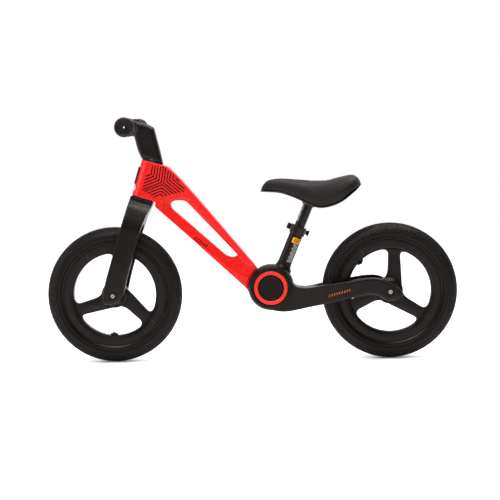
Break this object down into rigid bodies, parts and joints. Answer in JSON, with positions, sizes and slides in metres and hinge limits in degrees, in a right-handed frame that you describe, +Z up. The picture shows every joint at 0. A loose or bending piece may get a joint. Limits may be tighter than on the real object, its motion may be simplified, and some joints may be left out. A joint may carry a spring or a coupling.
{
  "type": "folding balance bike",
  "caption": "Small pedal-less bicycle for a toddler: two spoked wheels with air tyres, steered fork, adjustable saddle, and a slotted frame that folds at a central hub.",
  "frame": {"origin": "on the ground in the middle plane, midway between the two wheel axles", "axes": "+X towards the back of the bike, +Y to the rider's right, +Z up"},
  "size_m": [0.895, 0.38, 0.5319],
  "materials": {
    "red_paint": "gloss",
    "black_casting": "satin",
    "dark_steel": "satin",
    "steel": "satin",
    "bronze": "satin",
    "tyre": "matte",
    "wheel": "satin",
    "valve": "satin",
    "grip": "matte",
    "badge": "gloss",
    "button": "satin",
    "hub_trim": "satin",
    "shell": "satin",
    "saddle": "satin"
  },
  "bodies": {
    "rear": {"rear_frame": "black_casting", "hinge_sleeve": "steel", "hub_cap_right": "button", "hub_ring_left": "red_paint", "hub_ring_right": "red_paint", "hub_disc_left": "hub_trim", "hub_disc_right": "hub_trim", "clamp_collar": "dark_steel", "clamp_skewer": "steel", "clamp_nut": "dark_steel", "rear_axle": "steel", "rear_spacer_left": "dark_steel", "rear_spacer_right": "dark_steel", "rear_nut_left": "dark_steel", "rear_nut_right": "dark_steel"},
    "fold_button": {"fold_button": "button"},
    "clamp_lever": {"clamp_lever": "dark_steel"},
    "saddle": {"seat_post": "dark_steel", "saddle_shell": "shell", "saddle_pad": "saddle"},
    "rear_wheel": {"rear_tyre": "tyre", "rear_rim": "wheel", "rear_valve": "valve", "rear_bearing_left": "steel", "rear_bearing_right": "steel"},
    "front": {"front_frame": "red_paint", "hinge_bush_left": "bronze", "hinge_bush_right": "bronze", "headset_bearing_lower": "steel", "headset_bearing_upper": "steel", "head_badge": "badge"},
    "steering": {"fork": "black_casting", "steerer": "steel", "crown_race": "dark_steel", "headset_cover": "dark_steel", "stem": "black_casting", "stem_bolt": "dark_steel", "handlebar": "dark_steel", "grip_left": "grip", "grip_right": "grip", "front_axle": "steel", "front_spacer_left": "dark_steel", "front_spacer_right": "dark_steel", "front_nut_left": "dark_steel", "front_nut_right": "dark_steel"},
    "front_wheel": {"front_tyre": "tyre", "front_rim": "wheel", "front_valve": "valve", "front_bearing_left": "steel", "front_bearing_right": "steel"}
  },
  "joints": [
    {"name": "fold", "type": "hinge", "parent": "rear", "child": "front", "pos_m": [0.042, 0, 0.158], "axis": [0, -1, 0], "range_deg": [0, 95]},
    {"name": "fold_button_press", "type": "slide", "parent": "rear", "child": "fold_button", "axis": [0, 1, 0], "range_m": [0, 0.004], "stiffness_N_per_m": 800},
    {"name": "clamp_lever_swing", "type": "hinge", "parent": "rear", "child": "clamp_lever", "pos_m": [0.08416, 0.026, 0.2897], "axis": [0.3907, 0, 0.9205], "range_deg": [0, 150]},
    {"name": "seat_height", "type": "slide", "parent": "rear", "child": "saddle", "axis": [0.3907, 0, 0.9205], "range_m": [-0.024, 0.026]},
    {"name": "rear_wheel_spin", "type": "hinge", "parent": "rear", "child": "rear_wheel", "pos_m": [0.3, 0, 0.1475], "axis": [0, 1, 0], "continuous": true},
    {"name": "steer", "type": "hinge", "parent": "front", "child": "steering", "pos_m": [-0.3, 0, 0.1475], "axis": [0.2924, 0, 0.9563], "range_deg": [-35, 35]},
    {"name": "front_wheel_spin", "type": "hinge", "parent": "steering", "child": "front_wheel", "pos_m": [-0.3, 0, 0.1475], "axis": [0, 1, 0], "continuous": true}
  ]
}
